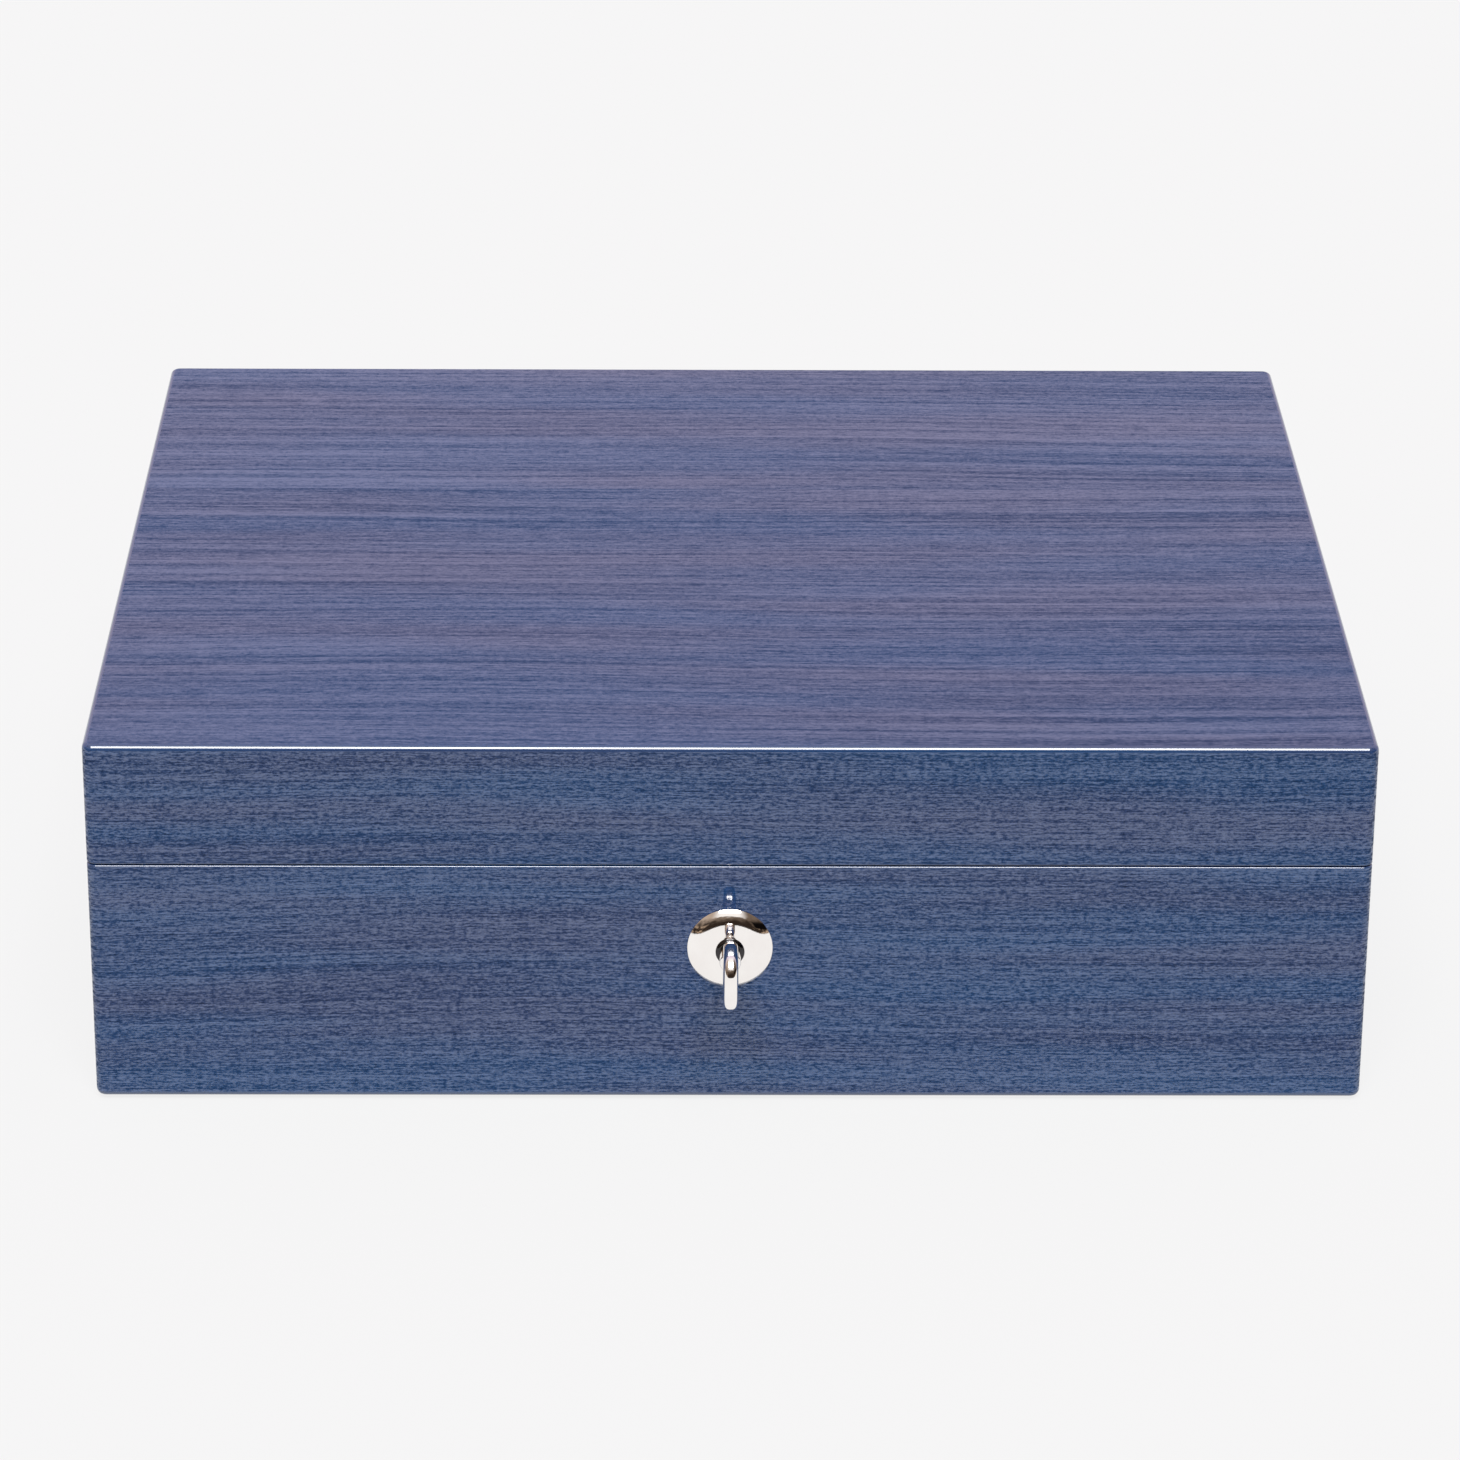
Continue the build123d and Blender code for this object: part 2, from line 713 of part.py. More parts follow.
def strike_plate():
    """The plate in the lid's front rail, with two loops that the bolt's fingers enter."""
    with BuildPart() as plate:
        block(
            -strike_half, strike_half, strike_front_y, strike_back_y,
            lid_low, lid_low + strike_thick,
        )
        low = lid_low - loop_drop
        y0, y1 = bolt_mid_y - loop_wide / 2, bolt_mid_y + loop_wide / 2
        for x in (-loop_x, loop_x):
            x0, x1 = x - loop_thick / 2, x + loop_thick / 2
            block(x0, x1, y0, y1, low, lid_low)
            block(
                x0, x1, y0 + loop_wall, y1 - loop_wall, low + loop_wall, lid_low - loop_top,
                mode=Mode.SUBTRACT,
            )
        for plane in strike_planes:
            screw_body(plane, *strike_screw, mode=Mode.SUBTRACT)
    return plate


# ---- the rose and the key ----
def rose_outline():
    """The rose's dome, from its hole to its edge: heights off the front face and radii."""
    flat = radians(rose_flat_slope)
    edge = radians(rose_edge_slope)
    shoulder_r = (rose_r - rose_flat_r) / (sin(edge) - sin(flat))
    centre_r = rose_r - shoulder_r * sin(edge)
    centre_h = rose_edge - shoulder_r * cos(edge)
    crown_r = rose_flat_r / sin(flat)
    crown_h = centre_h + shoulder_r * cos(flat) - crown_r * cos(flat)

    def shoulder(angle):
        return (centre_h + shoulder_r * cos(angle), centre_r + shoulder_r * sin(angle))

    def crown(radius):
        return (crown_h + sqrt(crown_r**2 - radius**2), radius)

    return shoulder, crown, flat, edge


def escutcheon():
    """The domed rose round the key, with two spigots that go into the front wall."""
    shoulder, crown, flat, edge = rose_outline()
    hole = crown(rose_hole_r)
    plane = Plane(origin=(0, front, key_z), x_dir=(0, -1, 0), z_dir=(-1, 0, 0))
    with BuildPart() as rose:
        with BuildSketch(plane):
            with BuildLine():
                Line((0, rose_hole_r), (0, rose_r))
                Line((0, rose_r), shoulder(edge))
                ThreePointArc(shoulder(edge), shoulder((flat + edge) / 2), shoulder(flat))
                ThreePointArc(shoulder(flat), crown((rose_flat_r + rose_hole_r) / 2), hole)
                Line(hole, (0, rose_hole_r))
            make_face()
        revolve(axis=Axis((0, front, key_z), Y_DIR))
        for x in (-spigot_x, spigot_x):
            rod((x, front, key_z), Y_DIR, spigot_r, spigot)
    return rose


def key_stem():
    """The key's hollow stem with its wider barrel, its notch and a tenon for the bow."""
    barrel_y = front - key_barrel_near
    with BuildPart() as stem:
        rod((0, barrel_y, key_z), OUT_DIR, key_barrel_r, key_barrel_far - key_barrel_near)
        fillet(stem.edges().filter_by(GeomType.CIRCLE), key_barrel_round)
        rod((0, stem_end_y, key_z), OUT_DIR, stem_r, stem_end_y - barrel_y)
        rod((0, front - key_barrel_far, key_z), OUT_DIR, tenon_r, tenon)
        rod((0, stem_end_y, key_z), OUT_DIR, stem_bore_r, stem_bore, mode=Mode.SUBTRACT)
        notch_half = tongue_half + notch_slack
        block(
            -notch_half, notch_half, stem_end_y - tongue_out - running, stem_end_y + 1,
            key_z - stem_r - 1, key_z + stem_r + 1, mode=Mode.SUBTRACT,
        )
    return stem


def bow_outline():
    """Points round the bow: |a / deep|^n + |b / tall|^n = 1, where n is its fullness."""
    points = []
    for step in range(32):
        angle = radians(360 * step / 32)
        reach = abs(cos(angle) / bow_deep) ** bow_fullness + abs(sin(angle) / bow_tall) ** bow_fullness
        radius = reach ** (-1 / bow_fullness)
        points.append((radius * cos(angle), radius * sin(angle)))
    return points


def key_bow():
    """The key's ring bow, upright at rest, with a round eye."""
    plane = Plane(origin=(-bow_thick / 2, bow_y, key_z), x_dir=Y_DIR, z_dir=X_DIR)
    seat_y = front - key_barrel_far
    with BuildPart() as bow:
        with BuildSketch(plane):
            with BuildLine():
                Spline(*bow_outline(), periodic=True)
            make_face()
            Circle(bow_eye_r, mode=Mode.SUBTRACT)
        extrude(amount=bow_thick)
        fillet(bow.faces().filter_by(Axis.X).edges(), bow_edge_round)
        block(
            -bow_thick, bow_thick, seat_y, front, key_z - 2 * bow_tall, key_z + 2 * bow_tall,
            mode=Mode.SUBTRACT,
        )
        rod((0, seat_y, key_z), OUT_DIR, tenon_r, tenon, mode=Mode.SUBTRACT)
    return bow


def save(name, built):
    """Labels a finished sub-part and writes it as parts/NAME.step."""
    built.part.label = name
    export_step(built.part, f"parts/{name}.step")


os.makedirs("parts", exist_ok=True)

walls = base_frame()
rails = lid_frame()
base_liners = base_liner_frame()
lid_liners = lid_liner_frame()
for side_name in SIDES:
    save(f"base_{side_name}_wall", base_wall(walls, side_name))
    save(f"lid_{side_name}_rail", lid_rail(rails, side_name))
    save(f"base_{side_name}_liner", liner_board(base_liners, side_name, liner_width, liner_depth))
    save(f"lid_{side_name}_liner", liner_board(lid_liners, side_name, inner_width, inner_depth))

pad_width = liner_width - 2 * (liner + pad_gap)
pad_depth = liner_depth - 2 * (liner + pad_gap)
save("base_bottom_panel", base_bottom_panel())
save("base_felt", base_felt())
save("floor_pad", soft_pad(pad_width, pad_depth, floor_top, floor_pad))
save("lid_top_panel", lid_top_panel())
save("lid_pad", soft_pad(pad_width, pad_depth, panel_low - lid_pad, lid_pad))

for hinge_name, hinge_side in (("left", -1), ("right", 1)):
    save(f"{hinge_name}_hinge_base_leaf", hinge_base_leaf(hinge_side * hinge_x))
    save(f"{hinge_name}_hinge_lid_leaf", hinge_lid_leaf(hinge_side * hinge_x))
    save(f"{hinge_name}_hinge_pin", hinge_pin(hinge_side * hinge_x))
save("hinge_base_screws", screws(base_hinge_planes, *hinge_screw, slot_angle=25))
save("hinge_lid_screws", screws(lid_hinge_planes, *hinge_screw, slot_angle=70))

save("lock_case", lock_case())
save("lock_selvedge", lock_selvedge())
save("lock_cover", lock_cover())
save("lock_cylinder", lock_cylinder())
save("lock_plug", lock_plug())
save("drive_cam", drive_cam())
save("cam_screw", cam_screw())
save("lock_bolt", lock_bolt())
save("detent_spring", detent_spring())
save("strike_plate", strike_plate())
save("selvedge_screws", screws(selvedge_planes, *selvedge_screw, slot_angle=40))
save("lock_case_screws", screws(ear_planes, *ear_screw, slot_angle=15))
save("lock_cover_screws", screws(cover_planes, *cover_screw, slot_angle=60))
save("strike_screws", screws(strike_planes, *strike_screw, slot_angle=55))
save("escutcheon", escutcheon())
save("nose_ring", nose_ring())
save("key_stem", key_stem())
save("key_bow", key_bow())
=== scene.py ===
import math

import bpy
import numpy as np
from mathutils import Matrix, Vector


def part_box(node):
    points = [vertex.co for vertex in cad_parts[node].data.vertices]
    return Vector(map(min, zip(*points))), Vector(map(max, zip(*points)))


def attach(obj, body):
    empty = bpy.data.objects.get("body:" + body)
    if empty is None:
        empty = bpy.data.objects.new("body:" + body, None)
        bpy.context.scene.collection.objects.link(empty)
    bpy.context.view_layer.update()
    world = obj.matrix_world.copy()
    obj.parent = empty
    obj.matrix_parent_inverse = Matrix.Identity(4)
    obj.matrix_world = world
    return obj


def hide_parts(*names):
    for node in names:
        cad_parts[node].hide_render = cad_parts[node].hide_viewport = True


# A lockable keepsake box in blue-dyed veneer under clear gloss lacquer, lined with suede,
# with a polished nickel rose, key and hinges. Metres. +X right, +Y back, +Z up.

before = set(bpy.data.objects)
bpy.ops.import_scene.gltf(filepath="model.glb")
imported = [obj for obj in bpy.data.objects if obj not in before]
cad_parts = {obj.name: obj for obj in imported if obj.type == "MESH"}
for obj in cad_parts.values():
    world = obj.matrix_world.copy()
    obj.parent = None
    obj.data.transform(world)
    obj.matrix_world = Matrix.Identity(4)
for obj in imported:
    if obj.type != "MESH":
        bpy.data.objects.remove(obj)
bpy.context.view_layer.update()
scene = bpy.context.scene

MM = 0.001

# ---- the lock's visible metal, round the key's axis ----
front_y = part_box("base_front_wall")[0].y
rose_low, rose_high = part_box("escutcheon")
key_x = (rose_low.x + rose_high.x) / 2
key_z = (rose_low.z + rose_high.z) / 2
rose_radius = (rose_high.z - rose_low.z) / 2
rose_edge = 0.2 * MM  # the thin upright edge at the rim
rose_flat_radius = 7.2 * MM
rose_flat_slope = math.radians(10.5)
rose_edge_slope = math.radians(40)
rose_hole = 3.1 * MM
bow_thick = 3.66 * MM
bow_round = 1.5 * MM
bow_eye = 4.2 * MM
bow_deep = 7.6 * MM
bow_fullness = 2.7

# ---- light and surroundings ----
floor_glow = 0.822
floor_albedo = 0.06
pale = 0.923  # the floor and backdrop, as the eye sees them
camera_place = Vector((-0.0166, -1.375, 0.6478))
camera_pitch = math.radians(23.75)
camera_yaw = math.radians(0.75)
camera_roll = math.radians(0.412)
camera_lens = 135.8
camera_sensor = 36.0


# =====================================================================
# Node trees
# =====================================================================
class Value:
    """A socket's output. Arithmetic on it adds Math nodes to its tree."""

    def __init__(self, tree, socket):
        self.tree, self.socket = tree, socket

    def _math(self, operation, first, second=0.0):
        return self.tree.node("ShaderNodeMath", {"operation": operation}, {0: first, 1: second})

    def __add__(self, other):
        return self._math("ADD", self, other)

    __radd__ = __add__

    def __sub__(self, other):
        return self._math("SUBTRACT", self, other)

    def __rsub__(self, other):
        return self._math("SUBTRACT", other, self)

    def __mul__(self, other):
        return self._math("MULTIPLY", self, other)

    __rmul__ = __mul__

    def __abs__(self):
        return self._math("ABSOLUTE", self)

    def __gt__(self, other):
        return self._math("GREATER_THAN", self, other)

    def clamp(self, low, high):
        return self._math("MINIMUM", self._math("MAXIMUM", self, low), high)

    def step(self, low, high):
        """0 below low, 1 above high, and a smooth rise between them."""
        settings = {"interpolation_type": "SMOOTHSTEP"}
        return self.tree.node("ShaderNodeMapRange", settings, {0: self, 1: low, 2: high})


class Tree:
    """A node tree that is built by calls: each one adds a node and gives back its output."""

    def __init__(self, owner):
        owner.use_nodes = True
        self.tree = owner.node_tree
        self.tree.nodes.clear()

    def node(self, kind, settings=None, sockets=None, out=0):
        made = self.tree.nodes.new(kind)
        for name, value in (settings or {}).items():
            setattr(made, name, value)
        for name, value in (sockets or {}).items():
            if isinstance(value, Value):
                self.tree.links.new(value.socket, made.inputs[name])
            else:
                made.inputs[name].default_value = value
        return Value(self, made.outputs[out]) if made.outputs else None

    def split(self, vector):
        """A vector's three numbers."""
        made = self.node("ShaderNodeSeparateXYZ", None, {0: vector})
        return [Value(self, made.socket.node.outputs[i]) for i in range(3)]

    def join(self, x, y, z):
        return self.node("ShaderNodeCombineXYZ", None, {0: x, 1: y, 2: z})

    def blend(self, factor, first, second):
        """Two colours mixed."""
        settings = {"data_type": "RGBA", "clamp_factor": True}
        return self.node("ShaderNodeMix", settings, {0: factor, 6: first, 7: second}, out=2)

    def noise(self, vector, size, detail=2.0, rough=0.5, place=(0, 0, 0)):
        """Noise from 0 to 1 whose blotches are size across, in metres each way."""
        moved = self.node(
            "ShaderNodeMapping",
            None,
            {0: vector, 1: place, 3: tuple(1 / s for s in size)},
        )
        sockets = {"Vector": moved, "Scale": 1.0, "Detail": detail, "Roughness": rough}
        return self.node("ShaderNodeTexNoise", None, sockets)

    def bump(self, height, strength, distance):
        sockets = {"Height": height, "Strength": strength, "Distance": distance}
        return self.node("ShaderNodeBump", None, sockets)

    def principled(self, **constants_and_links):
        """The surface shader, from its sockets' names with _ for a space, wired to the output."""
        sockets = {name.replace("_", " "): v for name, v in constants_and_links.items()}
        shader = self.node("ShaderNodeBsdfPrincipled", None, sockets)
        self.node("ShaderNodeOutputMaterial", None, {"Surface": shader})


def material(name):
    made = bpy.data.materials.new(name)
    return made, Tree(made)


def object_place(t):
    return t.node("ShaderNodeTexCoord", out=3)


def colour(r, g, b):
    return (r, g, b, 1.0)


# =====================================================================
# Finishes
# =====================================================================
lacquer_ior = 2.0
lacquer_rough = 0.03
leaf_joint = 0.039  # where the two leaves of the top meet, along Y
leaf_gap = 5.0  # how far apart the two leaves lie in the figure
dye = np.array((0.010, 0.036, 0.113))  # the dyed wood's mean colour
blue_dye = colour(*(dye * (0.45, 1.05, 1.08) * 2))
grey_dye = colour(*(dye * (1.60, 0.97, 0.92) * 2))

# the grain's layers, from broad bands down to pores: size along and across, detail, roughness,
# place, and weight in the figure, with what an upright face adds to it
grain_layers = (
    ((0.40, 0.012, 1), 3.0, 0.6, (1, 5, 0), 3.2, 0.0),
    ((0.30, 0.0010, 1), 3.0, 0.7, (2, 6, 0), 10.8, 0.0),
    ((0.022, 0.0006, 1), 3.0, 0.7, (3, 7, 0), 4.5, 0.0),
    ((0.0060, 0.0004, 1), 2.0, 0.7, (4, 8, 0), 8.0, 6.5),
    ((0.0014, 0.0005, 1), 2.0, 0.8, (5, 9, 0), 8.0, 14.0),
)


def veneer(name, rim_along_depth=False):
    """Dyed veneer under lacquer. The grain runs along the box on its top, front and back, and
    along its depth on the sides. rim_along_depth turns the grain of upward faces too."""
    made, t = material(name)
    x, y, z = t.split(object_place(t))
    nx, _, nz = t.split(t.node("ShaderNodeTexCoord", out=1))
    flat = abs(nz) > 0.6
    side = (abs(nx) > 0.7) * (1 - flat)
    along_y = side + flat if rim_along_depth else side
    u = x * (1 - along_y) + y * along_y
    across_flat = x if rim_along_depth else y
    v = z * (1 - flat) + across_flat * 0.5 * flat
    sheet = y * 0.3 * (1 - side) * (1 - flat) + x * 0.3 * side + (z * 0.3 + 2.0) * flat
    # the top is laid from two leaves of veneer, with a tight joint between them
    second_leaf = (y > leaf_joint) * flat
    sheet += second_leaf * leaf_gap

    # slow bends of the grain, then the grain itself
    plain = t.join(u, v, sheet)
    drift = t.noise(plain, (0.24, 0.08, 1), 1.0, 0.5, (3, 1, 0)) - 0.5
    ripple = t.noise(plain, (0.010, 0.003, 1), 1.0, 0.5, (7, 2, 0)) - 0.5
    grain = t.join(u, v + drift * 0.008 + ripple * 0.00022, sheet)
    upright = 1 - flat
    figure = second_leaf * 0.25
    for size, detail, rough, layer_place, weight, upright_weight in grain_layers:
        layer = t.noise(grain, size, detail, rough, layer_place) - 0.5
        figure += layer * (weight + upright * upright_weight)
    pores = layer
    # the lacquer lies thick and smooth on the rounded edges
    rounded = abs(nz).step(0.05, 0.15) * (1 - abs(nz).step(0.97, 0.995))
    figure *= 1 - rounded
    # the dye's tone follows the figure, and upward faces are darkened by a tenth: painted shade that
    # offsets the stronger lamp light falling on the top
    tone_with_painted_top_shade = (1 + figure * 0.09).clamp(0.10, 2.0) * 0.5 * (1 - flat * 0.10)
    hue = t.noise(grain, (0.16, 0.012, 1), 1.0, 0.5, (6, 3, 0)).step(0.32, 0.68)
    dyed = t.blend(tone_with_painted_top_shade, colour(0, 0, 0), t.blend(hue, blue_dye, grey_dye))
    t.principled(
        Base_Color=dyed,
        Roughness=0.5,
        IOR=1.45,
        Specular_IOR_Level=0.15,
        Coat_Weight=(0.46 + flat * 0.08 + rounded * 0.42 + figure * 0.21).clamp(0.04, 1.0),
        Coat_Roughness=lacquer_rough,
        Coat_IOR=lacquer_ior,
        Normal=t.bump(pores, 0.3, 0.00012),
    )
    return made


def nickel(name, rough=0.05, brushed=False):
    """Polished nickel plate, faintly warm, with soft wipe marks and fine scratches."""
    made, t = material(name)
    place = object_place(t)
    smudge = t.noise(place, (0.006, 0.006, 0.006), 3.0)
    scratch = t.noise(place, (0.02, 0.0009, 0.00012), 2.0)
    tint = t.blend(smudge.step(0.3, 0.8), colour(0.95, 0.91, 0.88), colour(0.99, 0.96, 0.93))
    marked = scratch.step(0.62, 0.8) * (3 if brushed else 1)
    worn = rough * (1 + smudge.step(0.45, 0.8) * 0.8 + marked)
    t.principled(
        Base_Color=tint,
        Metallic=1.0,
        Roughness=worn,
        Normal=t.bump(scratch, 0.10, 0.00002),
    )
    return made


def nickel_painted_recess_shade(name):
    """Nickel plate, darkened nearly to black as painted shade for the dark recess round the key's
    barrel; still polished, a little rubbed.
    """
    made, t = material(name)
    rubbed = t.noise(object_place(t), (0.003, 0.003, 0.003), 3.0)
    t.principled(
        Base_Color=t.blend(rubbed, colour(0.040, 0.038, 0.040), colour(0.070, 0.066, 0.066)),
        Metallic=1.0,
        Roughness=0.10 + rubbed * 0.06,
    )
    return made


def bright_metal(name, dull, bright, rough):
    """Machined steel or brass with turning marks."""
    made, t = material(name)
    place = object_place(t)
    marks = t.noise(place, (0.004, 0.004, 0.00016), 2.0)
    cloud = t.noise(place, (0.005, 0.005, 0.005), 3.0)
    t.principled(
        Base_Color=t.blend(cloud, dull, bright),
        Metallic=1.0,
        Roughness=rough + marks * 0.16,
        Normal=t.bump(marks, 0.25, 0.00003),
    )
    return made


def suede(name):
    """Short-nap suede cloth: brushed patches where the nap lies one way or the other."""
    made, t = material(name)
    place = object_place(t)
    brushed = t.noise(place, (0.035, 0.022, 0.03), 3.0, 0.55, (1, 2, 3)).step(0.32, 0.70)
    nap = t.noise(place, (0.0011, 0.0011, 0.0011), 3.0, 0.7)
    fuzz = t.noise(place, (0.00032, 0.00032, 0.00032), 1.0, 0.5, (4, 4, 4))
    soft = t.blend(brushed * 0.6 + nap * 0.4, colour(0.365, 0.355, 0.343), colour(0.45, 0.44, 0.426))
    soft = t.blend(fuzz.step(0.55, 0.8) * 0.35, soft, colour(0.20, 0.195, 0.19))
    t.principled(
        Base_Color=soft,
        Roughness=0.96,
        Specular_IOR_Level=0.15,
        Sheen_Weight=0.35,
        Sheen_Roughness=0.4,
        Normal=t.bump(nap * 0.6 + fuzz * 0.4, 0.55, 0.0004),
    )
    return made


def felt(name):
    """Dark pressed felt with loose fibres."""
    made, t = material(name)
    place = object_place(t)
    tuft = t.noise(place, (0.0016, 0.0016, 0.0016), 4.0, 0.7)
    lint = t.noise(place, (0.004, 0.00035, 0.0006), 2.0, 0.6).step(0.6, 0.72)
    body = t.blend(tuft, colour(0.006, 0.008, 0.018), colour(0.022, 0.027, 0.05))
    t.principled(
        Base_Color=t.blend(lint * 0.4, body, colour(0.06, 0.065, 0.09)),
        Roughness=0.98,
        Sheen_Weight=0.3,
        Sheen_Roughness=0.5,
        Normal=t.bump(tuft + lint * 0.3, 0.8, 0.0005),
    )
    return made


def plain_board(name):
    """The bare board of the floor panel."""
    made, t = material(name)
    place = object_place(t)
    fleck = t.noise(place, (0.004, 0.0012, 0.001), 4.0, 0.65)
    t.principled(
        Base_Color=t.blend(fleck, colour(0.24, 0.17, 0.10), colour(0.42, 0.32, 0.21)),
        Roughness=0.8,
        Normal=t.bump(fleck, 0.4, 0.0002),
    )
    return made


# =====================================================================
# Surfaces
# =====================================================================
def grid_mesh(name, points, close_u=False, close_v=False, smooth=True):
    """A mesh through a grid of points, (rows, columns, 3). close_u and close_v join the last
    row to the first and the last column to the first."""
    rows, columns = points.shape[:2]
    u = np.arange(rows if close_u else rows - 1)
    v = np.arange(columns if close_v else columns - 1)
    uu, vv = np.meshgrid(u, v, indexing="ij")
    u2, v2 = (uu + 1) % rows, (vv + 1) % columns
    quads = np.stack([uu * columns + vv, uu * columns + v2, u2 * columns + v2, u2 * columns + vv], -1)
    mesh = bpy.data.meshes.new(name)
    mesh.from_pydata(points.reshape(-1, 3), [], quads.reshape(-1, 4).tolist())
    mesh.polygons.foreach_set("use_smooth", np.full(len(mesh.polygons), smooth))
    mesh.update()
    made = bpy.data.objects.new(name, mesh)
    scene.collection.objects.link(made)
    return made


def lathe(name, out, radius, around=160):
    """A profile turned about the key's axis: at each profile point, out metres in front of the
    front face, the point goes round at that radius. The profile is a closed loop."""
    turn = np.linspace(0, 2 * np.pi, around, endpoint=False)
    out, radius = np.asarray(out)[:, None], np.asarray(radius)[:, None]
    x = key_x + radius * np.cos(turn)
    z = key_z + radius * np.sin(turn)
    y = front_y - out + 0 * turn
    return grid_mesh(name, np.stack([x, y, z], -1), close_u=True, close_v=True)


def arc(centre, radius, start, end, count):
    """Points of an arc, as (out, radius) pairs. Angles run from straight out, in radians."""
    angle = np.linspace(start, end, count)
    return np.stack([centre[0] + radius * np.cos(angle), centre[1] + radius * np.sin(angle)], -1)


def run(start, end, count):
    """Points of a straight stretch, without its two ends."""
    share = np.linspace(0, 1, count + 2)[1:-1, None]
    return np.asarray(start) * (1 - share) + np.asarray(end) * share


def rose():
    """The domed rose: a wide crown arc out to rose_flat_radius, then a tighter shoulder arc that
    meets it with the same slope and ends at the rim; a thin upright edge and a flat back."""
    shoulder = (rose_radius - rose_flat_radius) / (math.sin(rose_edge_slope) - math.sin(rose_flat_slope))
    middle = (
        rose_edge - shoulder * math.cos(rose_edge_slope),
        rose_radius - shoulder * math.sin(rose_edge_slope),
    )
    crown = rose_flat_radius / math.sin(rose_flat_slope)
    crown_out = middle[0] + (shoulder - crown) * math.cos(rose_flat_slope)
    hole_angle = math.asin(rose_hole / crown)
    profile = np.concatenate([
        arc((crown_out, 0.0), crown, hole_angle, rose_flat_slope, 24),
        arc(middle, shoulder, rose_flat_slope, rose_edge_slope, 40)[1:],
        run((rose_edge, rose_radius), (0, rose_radius), 1),
        [(0.0, rose_radius)],
        run((0, rose_radius), (0, rose_hole), 6),
        [(0.0, rose_hole)],
        run((0, rose_hole), (crown_out + crown * math.cos(hole_angle), rose_hole), 3),
    ])
    made = lathe("rose_dome", profile[:, 0], profile[:, 1], around=256)
    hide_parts("escutcheon")
    return made


def nose_ring():
    """The ring over the rose's middle: a short tube whose front outer edge is a quarter round."""
    low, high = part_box("nose_ring")
    near, far = front_y - high.y, front_y - low.y
    outer, inner, edge = (high.x - low.x) / 2, 2.4 * MM, 0.9 * MM
    lip = 0.15 * MM
    profile = np.concatenate([
        arc((far - lip, inner + lip), lip, -np.pi / 2, 0, 5),
        run((far, inner + lip), (far, outer - edge), 3),
        arc((far - edge, outer - edge), edge, 0, np.pi / 2, 16),
        run((far - edge, outer), (near, outer), 2),
        [(near, outer)],
        run((near, outer), (near, inner), 2),
        [(near, inner)],
        run((near, inner), (far - lip, inner), 4),
    ])
    made = lathe("lock_nose_ring", profile[:, 0], profile[:, 1])
    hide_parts("nose_ring")
    return made


def key_bow():
    """The ring bow. Its outline is |a / deep|^n + |b / tall|^n = 1 with n its fullness, and its
    eye a circle; between them the section is a rectangle with round corners, carried once round.
    Its back is cut flat on the barrel."""
    low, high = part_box("key_bow")
    around, corner_points = 192, 10
    tall = (high.z - low.z) / 2
    centre_out = front_y - low.y - bow_deep
    cut = front_y - high.y
    turn = np.linspace(0, 2 * np.pi, around, endpoint=False)[:, None]
    spread = abs(np.cos(turn) / bow_deep) ** bow_fullness + abs(np.sin(turn) / tall) ** bow_fullness
    reach = spread ** (-1 / bow_fullness)
    middle, half = (reach + bow_eye) / 2, (reach - bow_eye) / 2
    corner = np.linspace(0, np.pi / 2, corner_points)
    starts = np.repeat(np.arange(4) * np.pi / 2, corner_points)
    angle = starts + np.tile(corner, 4)
    sign_r = np.repeat([1, -1, -1, 1], corner_points)
    sign_x = np.repeat([1, 1, -1, -1], corner_points)
    radial = middle + sign_r * (half - bow_round) + bow_round * np.cos(angle)
    across = sign_x * (bow_thick / 2 - bow_round) + bow_round * np.sin(angle)
    out = np.maximum(centre_out + radial * np.cos(turn), cut)
    up = radial * np.sin(turn)
    points = np.stack([key_x + across + 0 * out, front_y - out, key_z + up], -1)
    made = grid_mesh("ring_bow", points, close_u=True, close_v=True)
    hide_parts("key_bow")
    return made


